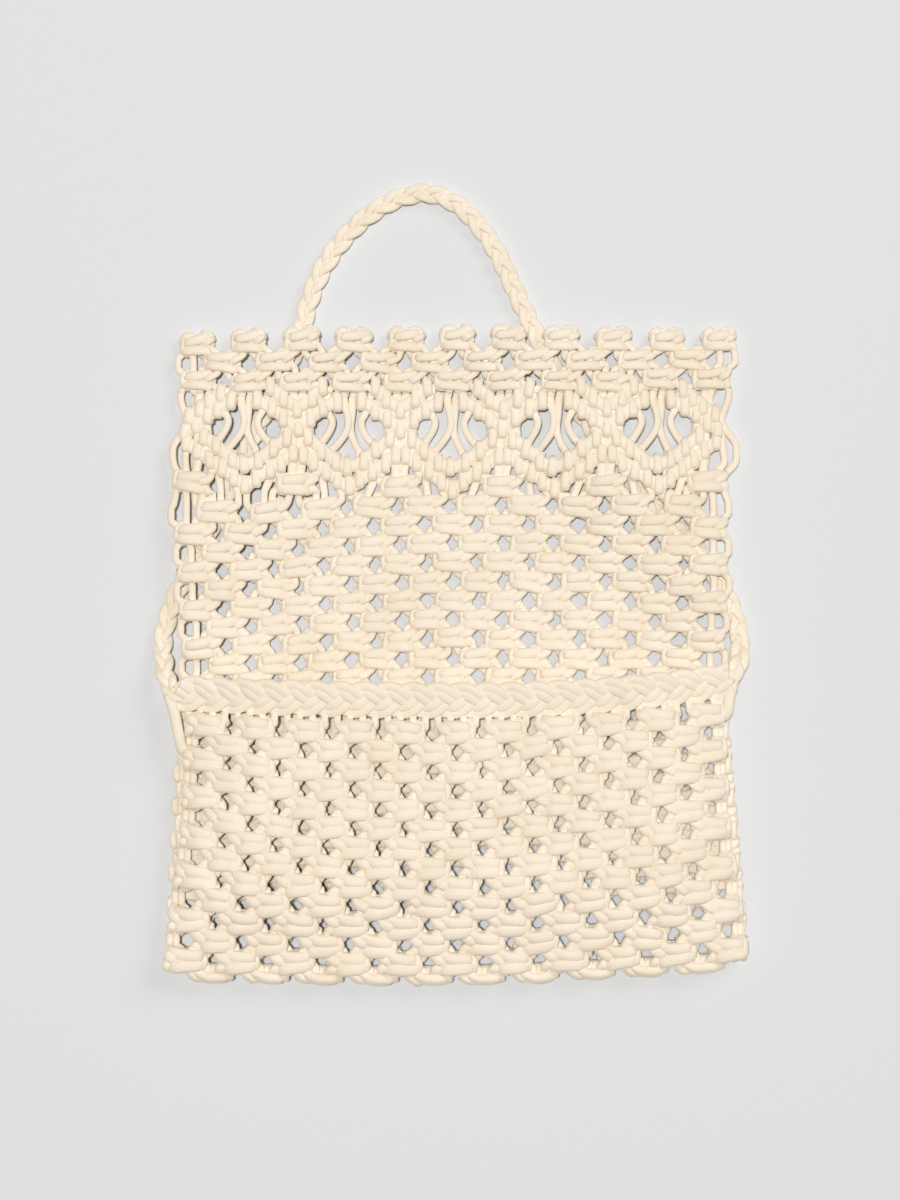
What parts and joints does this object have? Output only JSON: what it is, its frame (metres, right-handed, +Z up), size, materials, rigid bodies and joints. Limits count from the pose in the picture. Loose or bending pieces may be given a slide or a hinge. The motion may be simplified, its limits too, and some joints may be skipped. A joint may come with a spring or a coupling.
{
  "type": "macrame shoulder bag",
  "caption": "Hand-knotted cream cotton shoulder bag with a lace flap and a plaited strap, lying open on its back.",
  "frame": {"origin": "centre of the bag's outline on the floor that it lies on", "axes": "+X to the right seen from above, +Y from the bottom fold to the top of the strap, +Z up from the floor"},
  "size_m": [0.3111, 0.4184, 0.029],
  "materials": {
    "net": "matte knotted cotton cord",
    "lace": "matte knotted cotton cord, openwork",
    "plait": "matte plaited cotton cord"
  },
  "bodies": {
    "root": {"back_panel": "net", "front_panel": "net", "flap_net": "net", "lace_band": "lace", "picot_edge": "lace", "mouth_band": "plait", "shoulder_strap": "plait"}
  },
  "joints": []
}
